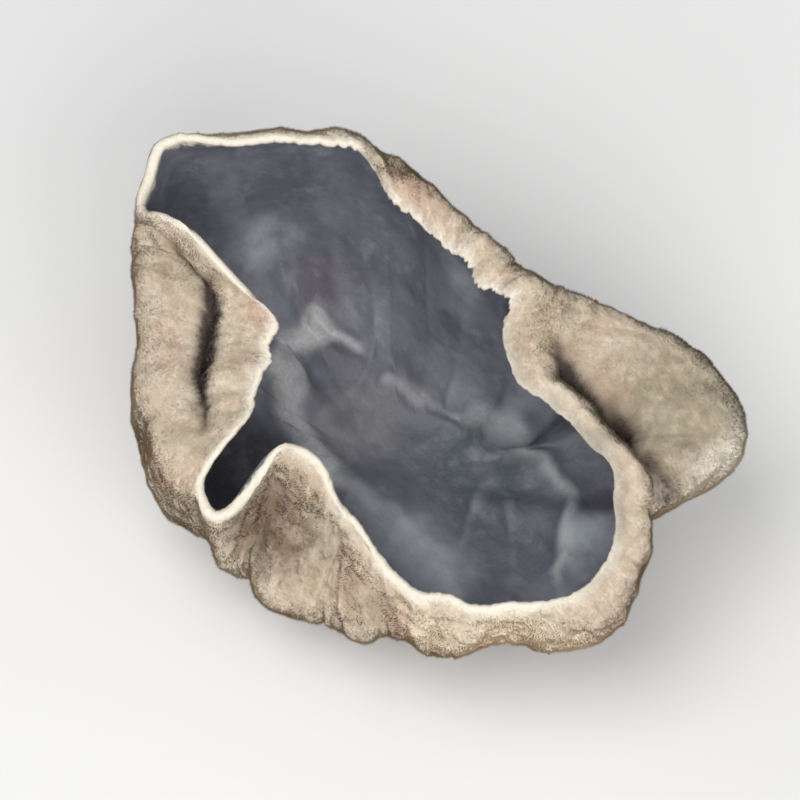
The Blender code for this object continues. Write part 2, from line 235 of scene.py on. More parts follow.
INSIDE_TINTS = (
    Tint((4.2, 4.4, 4.0), 10.0, "teal"),       # floor under the far wall
    Tint((-6.3, -1.3, 3.9), 5.5, "ash"),       # floor over the stub
    Tint((5.8, -4.3, 4.4), 4.6, "bloom"),      # floor by the near wall, painted sheen
    Tint((10.1, -4.5, 4.9), 4.6, "bloom"),     # floor by the near wall, painted sheen
    Tint((-21.6, 0.3, 12.2), 4.0, "bloom"),    # towards the tip
    Tint((-4.5, 7.0, 19.5), 3.5, "bloom"),     # far wall, under the rolled margin
    Tint((16.1, 6.9, 8.4), 4.6, "bloom"),      # wall of the low end
    Tint((-16.4, 2.9, 8.7), 3.6, "plum"),      # wall under the far rim
    Tint((-0.5, -16.5, 15.0), 6.0, "pit"),     # pocket beside the pinch, painted shade
    Tint((-7.5, -12.5, 4.8), 7.0, "pit"),      # painted shade of the floor under the flap, seen through the pocket
)

OUTSIDE_TINTS = (
    Tint((14.5, 16.5, 18.0), 9.0, "khaki"),    # face of the side lobe, painted shade
    Tint((20.5, 15.0, 14.6), 3.6, "edge"),     # low edge of the side lobe, painted highlight
    Tint((20.0, 19.4, 14.6), 3.6, "edge"),     # low edge of the side lobe, painted highlight
    Tint((20.6, 16.8, 15.4), 3.0, "edge"),     # low edge of the side lobe, painted highlight
    Tint((20.0, 11.0, 16.8), 2.0, "crevice"),  # painted shade at the low end of the tuck beside the side lobe
    Tint((17.6, 11.2, 16.4), 2.2, "crevice"),  # painted shade in the tuck beside the side lobe
    Tint((3.4, -15.5, 13.5), 5.5, "khaki"),    # wall under the pinch, painted shade
    Tint((2.6, -15.7, 13.4), 6.0, "umber"),    # wall under the pinch, painted shade
    Tint((12.6, -13.2, 11.6), 3.4, "tan"),     # band of the near wall
    Tint((17.5, -10.0, 11.6), 4.5, "peach"),   # band of the near wall, painted highlight
    Tint((21.2, -5.8, 10.8), 5.2, "peach"),    # band of the near wall, painted highlight
    Tint((21.4, -5.4, 12.0), 4.4, "peach"),    # band of the near wall, painted highlight
    Tint((24.0, -2.0, 9.8), 5.2, "peach"),     # band of the near wall, painted highlight
    Tint((-10.3, -7.6, 23.5), 3.0, "rosy"),    # corner of the left flap
    Tint((-8.6, 6.8, 28.8), 4.0, "rosy"),      # broad end of the rolled margin
)

# How much of a named place's tint shows: at its middle, and where the surface's clouds are thinnest
TINT_SHARE = 0.85
TINT_THINNEST = 0.4

# The hairs' triangles in the map are this small, because each needs a place of its own for baking
MAP_STEP = 1.0 / 1400.0

# One light of the stage: its turn from the camera and its height in degrees, how far off and wide it is in
# metres, its colour, and the setting that holds its power
Lamp = namedtuple("Lamp", "name turn height distance size colour power")

LAMPS = (
    Lamp("key_light", -70.0, 66.0, 0.6, 0.5, (1.0, 0.98, 0.95), "key"),
    Lamp("fill_light", 15.0, 34.0, 0.7, 0.6, (1.0, 0.98, 0.96), "fill"),
)
ROOM_COLOUR = (0.93, 0.96, 1.0, 1.0)


def setting(name, description, value, kind=FloatProperty, **limits):
    """A value that a user can change, with its unit, subtype or limits."""
    return kind(name=name, description=description, default=value, **limits)


def length_setting(name, description, value):
    """A length in metres that a user can change."""
    return setting(name, description, value, unit="LENGTH")


def share_setting(name, description, value, lowest=0.0, highest=1.0):
    """A factor that a user can change."""
    return setting(name, description, value, subtype="FACTOR", min=lowest, max=highest)


def colour_setting(name, description, value):
    """A colour that a user can change."""
    return setting(name, description, value, FloatVectorProperty, subtype="COLOR")


class SkinShape(bpy.types.PropertyGroup):
    """How finely the skin is divided, and the relief of its dried surface"""

    columns: setting("Columns", "Faces round the rim", 424, IntProperty, min=60)
    floor_rings: setting("Floor Rings", "Rings across the floor", 14, IntProperty, min=2)
    sheet_rings: setting("Sheet Rings", "Rings from floor to margin", 100, IntProperty, min=12)
    crowding: share_setting("Margin Crowding", "How much closer rings stand at the margin", 1.15, 1.0, 2.0)
    smoothing: setting("Smoothing", "Passes that soften the folds", 10, IntProperty, min=0)
    folds: length_setting("Folds", "Depth of the folds that run up the wall", 0.0007)
    ridges: length_setting("Inside Ridges", "Height of the faint ridges inside", 0.00024)
    puckers: length_setting("Outside Puckers", "Height of the puckers near the stub", 0.0006)
    crepe: length_setting("Crepe", "Depth of the small wrinkles outside", 0.00011)
    ragged: length_setting("Ragged Margin", "How far the margin is worn back", 0.0009)
    nibbles: length_setting("Nibbles", "Depth of the small bites in the margin", 0.00045)


class InsideLook(bpy.types.PropertyGroup):
    """Colours and gloss of the smooth dark inside"""

    dark: colour_setting("Dark", "Deep slate", (0.085, 0.086, 0.108))
    slate: colour_setting("Slate", "Common slate grey", (0.132, 0.139, 0.163))
    # Dusty bloom, which also stands in as painted sheen on the floor by the near wall
    bloom: colour_setting("Bloom", "Bluish dusty bloom", (0.255, 0.280, 0.308))
    # Painted highlight: the pale sheen of the ridges
    ridge_highlight: colour_setting("Sheen", "Pale grey of the ridges", (0.400, 0.400, 0.405))
    teal: colour_setting("Teal", "Greenish slate of the floor", (0.034, 0.047, 0.053))
    plum: colour_setting("Plum", "Reddish tint of the wall", (0.104, 0.078, 0.100))
    ash: colour_setting("Ash", "Grey over the stub", (0.188, 0.182, 0.190))
    # Painted shade of the creases and hollows
    crease_shade: colour_setting("Deep", "Brownish black of the creases", (0.03, 0.026, 0.03))
    # Painted shade: the near-black shadow in the pocket
    pit: colour_setting("Pit", "Near-black of the pocket", (0.012, 0.009, 0.011))
    rim: colour_setting("Rim", "Pale line along the margin", (0.52, 0.45, 0.37))
    roughness: share_setting("Roughness", "Roughness of the satin face", 0.46)


class OutsideLook(bpy.types.PropertyGroup):
    """Colours of the velvety outside and of the cut"""

    # The margin's pale edge, partly its real pale hairs and partly a painted highlight, and the painted
    # highlight on the side lobe's low edge
    edge: colour_setting("Edge", "Worn white of the margin's edge", (0.76, 0.71, 0.62))
    cream: colour_setting("Cream", "Palest tan, near the margin", (0.66, 0.585, 0.475))
    tan: colour_setting("Tan", "Common tan", (0.43, 0.355, 0.255))
    rosy: colour_setting("Rosy Tan", "Warm patches", (0.54, 0.385, 0.29))
    # Painted shade: the dull tan of the faces that lie in shade
    khaki: colour_setting("Khaki", "Dull tan of the shaded faces", (0.30, 0.265, 0.185))
    # Painted highlight: the lit pale band of the near wall
    peach: colour_setting("Peach", "Pale band of the near wall", (0.80, 0.69, 0.55))
    # Real brown of the mottle and near the stub, and painted shade in the hollows and under the pinch
    umber: colour_setting("Umber", "Brown of the hollows", (0.21, 0.14, 0.095))
    # Painted shade: the dark of the deepest tucks, where the sheet shades itself
    crevice: colour_setting("Crevice", "Brown-violet of the deepest tucks", (0.040, 0.024, 0.026))
    wood: colour_setting("Cut", "Brown of the cut", (0.22, 0.14, 0.085))
    roughness: share_setting("Roughness", "Roughness of the velvet", 0.9)


class NapShape(bpy.types.PropertyGroup):
    """The short hairs of the outside"""

    pieces: setting("Pieces", "Meshes that share the hairs", 4, IntProperty, min=1)
    hairs: setting("Hairs", "Hairs in each mesh", 170000, IntProperty, min=100)
    length: length_setting("Length", "Length of a hair", 0.00034)
    width: length_setting("Width", "Width at the root", 0.000042)
    lean: share_setting("Lean", "How far a hair lies towards the margin", 0.8)
    stray: share_setting("Stray", "How unevenly the hairs lie", 0.35)
    seed: setting("Seed", "Start of the random places", 11, IntProperty)


class StageLook(bpy.types.PropertyGroup):
    """The floor, the lights and the camera"""

    floor: colour_setting("Floor", "Colour of the floor", (0.62, 0.62, 0.62))
    azimuth: setting("Azimuth", "Camera's turn round the ear", math.radians(54.0), subtype="ANGLE")
    elevation: setting("Elevation", "Camera's height above the level", math.radians(60.0), subtype="ANGLE")
    distance: length_setting("Distance", "From the camera to the ear", 0.9)
    view_width: length_setting("View Width", "Width of the view at the ear", 0.0665)
    key: setting("Key Light", "Power of the main light", 2.6, unit="POWER")
    fill: setting("Fill Light", "Power of the second light", 4.2, unit="POWER")
    air: share_setting("Surroundings", "Brightness of the room", 0.5)


def rim_value(direction, field):
    """A rim station's field at any direction, on a smooth closed curve through the stations."""
    turns = np.array([station.direction for station in RIM], dtype=float)
    values = np.array([getattr(station, field) for station in RIM], dtype=float)
    turns = np.concatenate((turns[-2:] - 360.0, turns, turns[:2] + 360.0))
    values = np.concatenate((values[-2:], values, values[:2]))
    slopes = np.zeros_like(values)
    slopes[1:-1] = (values[2:] - values[:-2]) / (turns[2:] - turns[:-2])
    wrapped = np.mod(direction - RIM[0].direction, 360.0) + RIM[0].direction
    left = np.clip(np.searchsorted(turns, wrapped, side="right") - 1, 1, len(turns) - 3)
    span = turns[left + 1] - turns[left]
    part = (wrapped - turns[left]) / span
    rise = 3.0 * part ** 2 - 2.0 * part ** 3
    start_pull = part ** 3 - 2.0 * part ** 2 + part
    end_pull = part ** 3 - part ** 2
    smooth = values[left] * (1.0 - rise) + values[left + 1] * rise
    return smooth + span * (start_pull * slopes[left] + end_pull * slopes[left + 1])


def hump(distance, spread):
    """A soft hump of height 1 at no distance, gone two or three spreads away."""
    return np.exp(-(distance / spread) ** 2)


def nearness(rim, place):
    """How near each direction of the rim is to a named place's: 1 in line with it, gone past its spread."""
    turn = np.mod(rim["direction"] - place.direction + 180.0, 360.0) - 180.0
    return hump(turn, place.spread)


def noise_at(x, y, z):
    """Smooth noise at each point of three arrays, about -0.5 to 0.5."""
    x, y, z = np.broadcast_arrays(x, y, z)
    places = zip(x.ravel(), y.ravel(), z.ravel())
    return np.array([noise.noise(Vector(place)) for place in places]).reshape(x.shape)


def cut_radius(direction):
    """How far the edge of the cut lies from its middle: an oval, slightly wavy."""
    turn = np.radians(direction)
    oval = 1.0 / np.sqrt((np.cos(turn) / CUT_HALF_LENGTH) ** 2 + (np.sin(turn) / CUT_HALF_WIDTH) ** 2)
    return oval * (1.0 + CUT_WAVE * np.sin(5.0 * turn + 1.0) + 0.6 * CUT_WAVE * np.sin(8.0 * turn))


def wander(turns, spacing, start):
    """Smooth noise round the cup, about -0.5 to 0.5, on a circle whose radius is the spacing."""
    return noise_at(spacing * np.cos(turns), spacing * np.sin(turns), start)


def unit(vectors):
    """Vectors brought to a length of 1."""
    return vectors / np.maximum(np.linalg.norm(vectors, axis=-1, keepdims=True), 1e-9)


def run_along(points):
    """How far each ring of a grid lies from the first one, measured along the surface."""
    steps = np.linalg.norm(np.diff(points, axis=0), axis=-1)
    return np.vstack((0.0 * steps[:1], np.cumsum(steps, axis=0)))


def even_directions(count):
    """Directions that share out the length of the margin's edge, with some weight on even turns."""
    fine = np.linspace(0.0, 360.0, 1441)
    turn = np.radians(fine)
    turned_in = np.sin(np.radians(np.clip(rim_value(fine, "shoulder"), 0.0, 90.0)))
    reach = rim_value(fine, "reach") - np.maximum(rim_value(fine, "lip"), 0.0) * turned_in
    line = np.stack((reach * np.cos(turn), reach * np.sin(turn), rim_value(fine, "height")), axis=-1)
    steps = np.linalg.norm(np.diff(line, axis=0), axis=1)
    length = np.concatenate(([0.0], np.cumsum(steps + steps.mean())))
    return np.interp(np.linspace(0.0, length[-1], count + 1)[:-1], length, fine)


def rim_at(columns):
    """Every field of the rim at each column, with the small ruffle of the dried margin."""
    directions = even_directions(columns)
    rim = {field: rim_value(directions, field) for field in Station._fields[1:]}
    rim["direction"] = directions
    rim["share"] = np.arange(columns) * 2.0 * np.pi / columns
    rim["foot"] = FLOOR_SPREAD * cut_radius(directions)
    for field, start in (("reach", 1.5), ("height", 4.5), ("lip", 7.5)):
        rim[field] = rim[field] + RUFFLE_HEIGHT * wander(rim["share"], RUFFLE_SPACING, start)
    rim["shoulder"] = np.radians(np.maximum(rim["shoulder"], 0.0))
    rim["curl"] = np.radians(np.maximum(rim["curl"], 5.0))
    rim["lip"] = np.maximum(rim["lip"], 0.0)
    return rim


def wall_line(rim, climb):
    """The wall, a curve from the floor's edge, nearly level there, to straight up at the rim."""
    foot_up = FLOOR_HEIGHT + FLOOR_RISE * rim["foot"]
    pull_out = BELLY_OUT * (rim["reach"] - rim["foot"])
    pull_up = BELLY_UP * (rim["height"] - foot_up)
    first = (1.0 - climb) ** 3
    second = 3.0 * climb * (1.0 - climb) ** 2
    third = 3.0 * climb ** 2 * (1.0 - climb)
    last = climb ** 3
    out = (first + second) * rim["foot"] + second * pull_out + (third + last) * rim["reach"]
    up = first * foot_up + second * (foot_up + 2.0 * FLOOR_RISE * pull_out)
    up = up + third * (rim["height"] - pull_up) + last * rim["height"]
    return out, up


def past_wall(rim, part):
    """How far each point lies past the top of the wall, and how much of that is straight lip."""
    run = part * (CURL_RADIUS * (rim["shoulder"] + rim["curl"]) + rim["lip"])
    return run, np.clip(run - CURL_RADIUS * rim["shoulder"], 0.0, rim["lip"])


def tuck_share(tuck, rim, part):
    """How much of a tuck's depth each point past the top of the wall has."""
    lip_part = past_wall(rim, part)[1] / np.maximum(rim["lip"], 1.0)
    dip = hump(lip_part - tuck.place, tuck.width) * np.minimum(part * 8.0, 1.0)
    return nearness(rim, tuck) * dip * np.minimum(rim["lip"] / TUCK_LIP, 1.0)


def curl_line(rim, part):
    """The margin past the top of the wall: a turn, a straight lip and a second turn."""
    shoulder = rim["shoulder"]
    run, on_lip = past_wall(rim, part)
    first_turn = np.minimum(run / CURL_RADIUS, shoulder)
    whole_turn = first_turn + np.maximum(run - CURL_RADIUS * shoulder - rim["lip"], 0.0) / CURL_RADIUS
    out = rim["reach"] + CURL_RADIUS * (np.cos(whole_turn) - 1.0) - on_lip * np.sin(shoulder)
    up = rim["height"] + CURL_RADIUS * np.sin(whole_turn) + on_lip * np.cos(shoulder)
    for tuck in TUCKS:
        up = up - tuck.depth * tuck_share(tuck, rim, part)
    return out, up


def swell(swellings, rim, along):
    """How far some swellings push each point of the sheet."""
    out = 0.0 * along
    for swelling in swellings:
        out = out + swelling.out * nearness(rim, swelling) * hump(along - swelling.along, swelling.run)
    return out


def base_sheet(rim, along):
    """The middle of the sheet before its relief, along from 0 on the axis to 3 at the margin's edge."""
    floor_part = np.clip(along, 0.0, 1.0)
    wall_out, wall_up = wall_line(rim, np.clip(along - 1.0, 0.0, 1.0))
    curl_out, curl_up = curl_line(rim, np.clip(along - 2.0, 0.0, 1.0))
    floor_up = FLOOR_HEIGHT + FLOOR_RISE * rim["foot"] * floor_part ** 2
    stages = (along <= 1.0, along <= 2.0)
    out = np.select(stages, (rim["foot"] * floor_part, wall_out), curl_out) + swell(BELLIES, rim, along)
    up = np.select(stages, (floor_up, wall_up), curl_up)
    turn = np.radians(rim["direction"])
    side = sum(lean.side * nearness(rim, lean) for lean in LEANS) * np.clip(along - 1.0, 0.0, 1.0) ** 2
    leave = np.minimum(along / 1.5, 1.0)
    x = out * np.cos(turn) - side * np.sin(turn) + AXIS_X * leave
    y = out * np.sin(turn) + side * np.cos(turn) + AXIS_Y * leave
    return np.stack((x, y, up), axis=-1)


def ring_places(rim, shape):
    """Where each ring crosses the sheet in each direction, to a margin that is worn back unevenly."""
    fine = np.linspace(1.0, 3.0, 401)[:, None]
    length = run_along(base_sheet(rim, fine + 0.0 * rim["reach"]))
    shares = 1.0 - (1.0 - np.linspace(0.0, 1.0, shape.sheet_rings + 1)) ** shape.crowding
    nicks = hump(wander(rim["share"], 24.0, 2.2), 0.07)
    serrated = wander(rim["share"], 11.0, 5.2) + 0.5 * wander(rim["share"], 44.0, 3.1)
    worn = shape.ragged / MM * (0.35 + serrated + 0.5 * nicks)
    ends = length[-1] - np.maximum(worn, 0.0)
    columns = [np.interp(shares * ends[c], length[:, c], fine[:, 0]) for c in range(length.shape[1])]
    floor = np.linspace(0.0, 1.0, shape.floor_rings + 1)[:-1, None] + 0.0 * rim["reach"]
    return np.vstack((floor, np.array(columns).T))


def wander_at(points, size, start):
    """A smooth random move at each point, the same each time: three noises at places apart, as X, Y and Z."""
    x, y, z = np.moveaxis(points / size + start, -1, 0)
    return np.stack([noise_at(x + shift, y, z) for shift in (0.0, 31.0, 67.0)], axis=-1)


def waves(points, along):
    """How the soft waves of the dried sheet move each point; the floor over the stub stays."""
    moves = wander_at(points, WAVE_SIZE, WAVE_START)
    return moves * WAVE_DEPTH * np.clip(along - 0.9, 0.0, 1.0)[:, :, None]


def relief(rim, along, folds):
    """How far the sheet stands out at each point: its swellings, and folds that fade towards the rim."""
    strength = folds / MM * np.interp(along, *FOLD_FADE)
    creased = wander(rim["share"], FOLD_SPACING, 0.9 * along)
    return swell(SWELLINGS, rim, along) + 2.0 * strength * creased


def across(points):
    """The direction across the surface at each point of a grid of rings: outwards, on a closed skin."""
    round_cup = np.roll(points, -1, axis=1) - np.roll(points, 1, axis=1)
    up_cup = np.empty_like(points)
    up_cup[1:-1] = points[2:] - points[:-2]
    up_cup[0] = points[1] - points[0]
    up_cup[-1] = points[-1] - points[-2]
    normal = np.cross(up_cup, round_cup)
    normal[0] = (0.0, 0.0, 1.0)
    return unit(normal)


def smoothed(points, passes):
    """The grid of rings with each point drawn towards its neighbours, some passes over."""
    for _ in range(passes):
        round_cup = np.roll(points, -1, axis=1) + np.roll(points, 1, axis=1)
        points = points.copy()
        points[1:-1] += 0.125 * (points[2:] + points[:-2] + round_cup[1:-1] - 4.0 * points[1:-1])
        points[-1] += 0.25 * (round_cup[-1] - 2.0 * points[-1])
    return points


def middle_sheet(shape):
    """The rim's fields, and the rings' places and points in the middle of the sheet's thickness."""
    rim = rim_at(shape.columns)
    along = ring_places(rim, shape)
    sheet = base_sheet(rim, along)
    sheet = sheet + waves(sheet, along)
    stands_out = relief(rim, along, shape.folds)[:, :, None]
    sheet = smoothed(sheet - stands_out * across(smoothed(sheet, shape.smoothing)), shape.smoothing)
    return rim, along, nibbled(sheet, rim, shape.nibbles / MM)


def nibbled(sheet, rim, deepest):
    """The sheet with small bites in its margin, most along the far wall, as dry fungus crumbles."""
    share = rim["share"]
    crumbs = np.maximum(wander(share, 36.0, 9.4), 0.0) + 0.6 * np.maximum(wander(share, 66.0, 6.3), 0.0)
    nicks = hump(wander(share, 26.0, 8.1), 0.05)
    worn = np.interp(rim["direction"], *zip(*CRUMBLED))
    bites = worn * deepest * np.minimum(1.6 * crumbs + 0.8 * nicks, 1.0)
    run = run_along(sheet)
    kept = run - bites * np.clip(1.0 + (run - run[-1]) / NIBBLED_RUN, 0.0, 1.0) ** 1.5
    result = sheet.copy()
    for column in range(len(share)):
        for axis in range(3):
            result[:, column, axis] = np.interp(kept[:, column], run[:, column], sheet[:, column, axis])
    return result


def ridge_height(ridge, x, y):
    """How high a ridge of the inside stands at each point, highest along its line."""
    nearest = np.full(x.shape, np.inf)
    for (x1, y1), (x2, y2) in zip(ridge.line[:-1], ridge.line[1:]):
        run_x, run_y = x2 - x1, y2 - y1
        share = np.clip(((x - x1) * run_x + (y - y1) * run_y) / (run_x ** 2 + run_y ** 2), 0.0, 1.0)
        nearest = np.minimum(nearest, np.hypot(x - x1 - share * run_x, y - y1 - share * run_y))
    return ridge.height * hump(nearest, ridge.width)


def named_ridges(along, sheet):
    """How high the named ridges of the inside stand at each point, along lines that wander a little."""
    x, y = sheet[..., 0], sheet[..., 1]
    bent_x = x + RIDGE_WANDER * noise_at(x / 2.5, y / 2.5, 2.0)
    bent_y = y + RIDGE_WANDER * noise_at(x / 2.5, y / 2.5, 7.0)
    named = sum(ridge_height(ridge, bent_x, bent_y) for ridge in RIDGES)
    return named * np.interp(along, (0.2, 0.6, 1.5, 1.9), (0.3, 1.0, 1.0, 0.0))


def inside_relief(shape, rim, along, sheet):
    """Fine relief of the inside: long faint ridges, rays up the wall, and small wrinkles."""
    x, y, z = np.moveaxis(sheet, -1, 0)
    long_ridges = hump(noise_at((x - y) / 17.0 + 2.0, (x + y) / 5.5, z / 12.0), 0.16)
    on_floor = np.interp(along, (0.1, 0.7, 1.5, 2.2), (0.2, 0.8, 0.7, 0.15))
    rays = hump(wander(rim["share"], 5.0, along + 4.0), 0.13)
    on_wall = np.interp(along, (1.0, 1.6, 2.3), (0.0, 0.35, 0.2))
    crepe = noise_at(x / 1.5, y / 1.1, z / 1.3 + 9.0) + 0.6 * noise_at(x / 0.8, y / 0.7, z / 0.7)
    return shape.ridges / MM * (on_floor * long_ridges + on_wall * rays) + 0.45 * shape.crepe / MM * crepe


def outside_relief(shape, rim, along, run, sheet):
    """Fine relief of the outside: puckers that run from the stub and fade, faint zones, small wrinkles."""
    x, y, z = np.moveaxis(sheet, -1, 0)
    puckers = hump(wander(rim["share"], PUCKER_SPACING, run / 7.0), 0.17)
    fine_puckers = hump(wander(rim["share"], 1.9 * PUCKER_SPACING, run / 3.5 + 5.0), 0.2)
    fade = np.interp(along, *PUCKER_FADE)
    zones = np.sin(run * 2.6 + 5.0 * wander(rim["share"], PUCKER_SPACING / 5.0, 1.0))
    near_margin = np.interp(along, (1.7, 2.2, 2.8, 3.0), (0.0, 1.0, 0.8, 0.0))
    crepe = noise_at(x / 1.2, y / 1.2, z / 1.2) + 0.7 * noise_at(x / 0.6, y / 0.6, z / 0.6 + 3.0)
    height = shape.puckers / MM * fade * (0.7 * puckers + 0.4 * fine_puckers - 0.3)
    return height + shape.crepe / MM * (1.3 * crepe + 0.35 * zones * near_margin)


def round_skin(values, shape):
    """A value of the sheet's on each ring of the closed skin, up its inside and down its outside."""
    back = list(values[:shape.floor_rings - 1:-1])
    below = [values[shape.floor_rings]] * (NECK_RINGS + CUT_RINGS)
    return np.array(list(values) + [values[-1]] * len(EDGE_TURNS) + back + below)


def stub_rings(start, directions):
    """Rings that swell down the stub from the outside's lowest ring to the cut, and close over the cut."""
    turn = np.radians(directions)
    edge = cut_radius(directions)[:, None] * np.column_stack((np.cos(turn), np.sin(turn)))
    end = np.column_stack((edge, 0.0 * turn))
    neck_up = NECK_SHARE * (FLOOR_HEIGHT - 0.5 * SHEET_THICKNESS[0])
    bulge = 2.0 * np.column_stack((NECK_SPREAD * edge, 0.0 * turn + neck_up)) - 0.5 * (start + end)
    neck = [(1.0 - t) ** 2 * start + 2.0 * t * (1.0 - t) * bulge + t ** 2 * end for t in NECK_STEPS]
    return neck + [end * (1.0 - ring / CUT_RINGS) for ring in range(1, CUT_RINGS + 1)]


def growth(shape, rim, along, run, ridges):
    """What the materials and the hairs read on each point of the closed skin.

    It is how far the point lies from the margin's edge, how high it stands on a ridge, where a highlight is
    painted, how deep it lies in a tuck, where shade is painted, and where it lies in the growth of the sheet,
    as a circle for the direction and the distance grown.
    """
    past_top = np.clip(along - 2.0, 0.0, 1.0)
    tucked = [tuck_share(tuck, rim, past_top) for tuck in TUCKS if tuck.depth > 0.0]
    grown = np.broadcast_arrays(10.0 * np.cos(rim["share"]), 10.0 * np.sin(rim["share"]), run)
    return {
        "margin": round_skin(run[-1] - run, shape),
        "ridge": round_skin(ridges, shape),
        "tucked": round_skin(np.max(tucked, axis=0), shape),
        "grown": round_skin(np.stack(grown, axis=-1), shape),
    }


def closed_skin(shape):
    """The rings of the closed skin, from the middle of the floor, round the margin, to the middle of the cut.

    Gives the points in millimetres, each ring's part of the skin, and what each point carries.
    """
    rim, along, sheet = middle_sheet(shape)
    run = run_along(sheet)
    inwards = across(sheet)
    half = 0.5 * np.interp(along, (1.0, 1.4, 2.2, 3.0), SHEET_THICKNESS)[:, :, None]
    tip = unit(sheet[-1] - sheet[-2])
    ridges = named_ridges(along, sheet)
    level = 0.0 * run[-1]
    points = list(sheet + half * inwards)
    heights = list(ridges + inside_relief(shape, rim, along, sheet))
    for turn in np.radians(EDGE_TURNS):
        points.append(sheet[-1] + half[-1] * (math.cos(turn) * inwards[-1] + math.sin(turn) * tip))
        heights.append(level)
    points += list((sheet - half * inwards)[:shape.floor_rings - 1:-1])
    heights += list(outside_relief(shape, rim, along, run, sheet)[:shape.floor_rings - 1:-1])
    points = np.array(points + stub_rings(points[-1], rim["direction"]))
    for step in NECK_STEPS:
        heights.append(heights[-1] * (1.0 - step))
    carried = growth(shape, rim, along, run, ridges)
    settle = np.minimum(carried["margin"] / SETTLED_EDGE, 1.0) * np.array(heights + [level] * CUT_RINGS)
    points = points + settle[:, :, None] * across(points)
    points[-CUT_RINGS - 1:, :, 2] = 0.0
    outside_rings = len(EDGE_TURNS) + shape.sheet_rings + 1 + NECK_RINGS
    parts = [INSIDE] * len(sheet) + [OUTSIDE] * outside_rings + [CUT] * CUT_RINGS
    return points, parts, carried


def wrap_skin(shape):
    """A flat grid wrapped into the closed skin, with what the materials read on each of its points."""
    points, parts, carried = closed_skin(shape)
    outwards = across(points)
    # How far each point lies below its smoothed neighbours; the materials darken these hollows with painted
    # shade
    carried["hollow"] = np.sum((smoothed(points, 26) - points) * outwards, axis=-1)
    lie = np.zeros_like(points)
    lie[1:-1] = points[:-2] - points[2:]
    carried["lie"] = unit(lie)
    skin = bmesh.new()
    skin.loops.layers.uv.new("OFBake")
    rings = len(points) - 1
    bmesh.ops.create_grid(skin, x_segments=shape.columns, y_segments=rings, size=1.0, calc_uvs=True)
    layers = {}
    for name, values in carried.items():
        kinds = skin.verts.layers.float if values.ndim == 2 else skin.verts.layers.float_vector
        layers[name] = kinds.new(name)
    skin.verts.ensure_lookup_table()
    for ring in range(rings + 1):
        for column in range(shape.columns + 1):
            vert = skin.verts[ring * (shape.columns + 1) + column]
            place = column % shape.columns
            vert.co = points[ring, place] * MM
            for name, layer in layers.items():
                vert[layer] = carried[name][ring, place]
    for number, face in enumerate(skin.faces):
        face.material_index = parts[number // shape.columns + 1]
    bmesh.ops.remove_doubles(skin, verts=skin.verts, dist=0.000002)
    bmesh.ops.recalc_face_normals(skin, faces=skin.faces)
    return skin


class Graph:
    """A material's nodes, added in the order in which its colour, gloss and bump are worked out."""

    def __init__(self, name):
        self.material = bpy.data.materials.new(name)
        self.material.use_nodes = True
        self.tree = self.material.node_tree
        self.shader = self.tree.nodes["Principled BSDF"]
        self.place = self.add("TexCoord").outputs["Object"]

    def add(self, kind, inputs=None, **settings):
        """A node with its settings, and each input linked to a socket or set to a value."""
        node = self.tree.nodes.new("ShaderNode" + kind)
        for name, value in settings.items():
            setattr(node, name, value)
        for name, value in (inputs or {}).items():
            self.feed(node.inputs[name], value)
        return node

    def feed(self, socket, value):
        """Links a socket to another, or sets its value."""
        if isinstance(value, bpy.types.NodeSocket):
            self.tree.links.new(value, socket)
        else:
            socket.default_value = value

    def attribute(self, name, output="Fac"):
        """What the mesh carries under a name."""
        return self.add("Attribute", attribute_name=name).outputs[output]

    def noise(self, size, detail, roughness, place=None, stretch=(1.0, 1.0, 1.0)):
        """Noise whose blots are about so many millimetres wide."""
        place = self.place if place is None else place
        mapping = self.add("Mapping", {"Vector": place, "Scale": stretch})
        inputs = {"Vector": mapping.outputs[0], "Scale": 1.0 / size, "Detail": detail, "Roughness": roughness}
        return self.add("TexNoise", inputs).outputs["Fac"]

    def ramp(self, value, start, end, low=0.0, high=1.0):
        """A value brought smoothly from low to high as it goes from start to end."""
        inputs = {"Value": value, "From Min": start, "From Max": end, "To Min": low, "To Max": high}
        return self.add("MapRange", inputs, interpolation_type="SMOOTHSTEP").outputs[0]

    def maths(self, operation, first, second):
        """One sum on two values."""
        node = self.add("Math", operation=operation)
        self.feed(node.inputs[0], first)
        self.feed(node.inputs[1], second)
        return node.outputs[0]

    def blend(self, share, first, second):
        """The first colour, with a share of the second."""
        node = self.add("Mix", data_type="RGBA")
        self.feed(node.inputs["Factor"], share)
        for place, colour in ((6, first), (7, second)):
            linked = isinstance(colour, bpy.types.NodeSocket)
            self.feed(node.inputs[place], colour if linked else (*colour, 1.0))
        return node.outputs[2]

    def tinted(self, colour, tints, look, broken):
        """A colour with its named places tinted, their edges broken up by a noise."""
        patchy = self.ramp(broken, 0.3, 0.6, TINT_THINNEST, 1.0)
        for tint in tints:
            middle = Vector(tint.middle) * MM
            away = self.add("VectorMath", {0: self.place, 1: middle}, operation="DISTANCE").outputs["Value"]
            near = self.ramp(away, tint.spread * MM, 0.25 * tint.spread * MM, 0.0, TINT_SHARE)
            colour = self.blend(self.maths("MULTIPLY", near, patchy), colour, getattr(look, tint.colour))
        return colour

    def layered(self, colour, layers):
        """A colour with others over it, each up to its share as a value goes from start to end."""
        for value, start, end, share, over in layers:
            colour = self.blend(self.ramp(value, start, end, 0.0, share), colour, over)
        return colour

    def bump(self, height, depth):
        """The shader's normal from a height between 0 and 1, over a depth in millimetres."""
        inputs = {"Height": height, "Distance": depth * MM, "Strength": 1.0}
        self.feed(self.shader.inputs["Normal"], self.add("Bump", inputs).outputs["Normal"])

    def finished(self, sockets):
        """The material, with the shader's sockets linked or set."""
        for name, value in sockets.items():
            self.feed(self.shader.inputs[name], value)
        return self.material


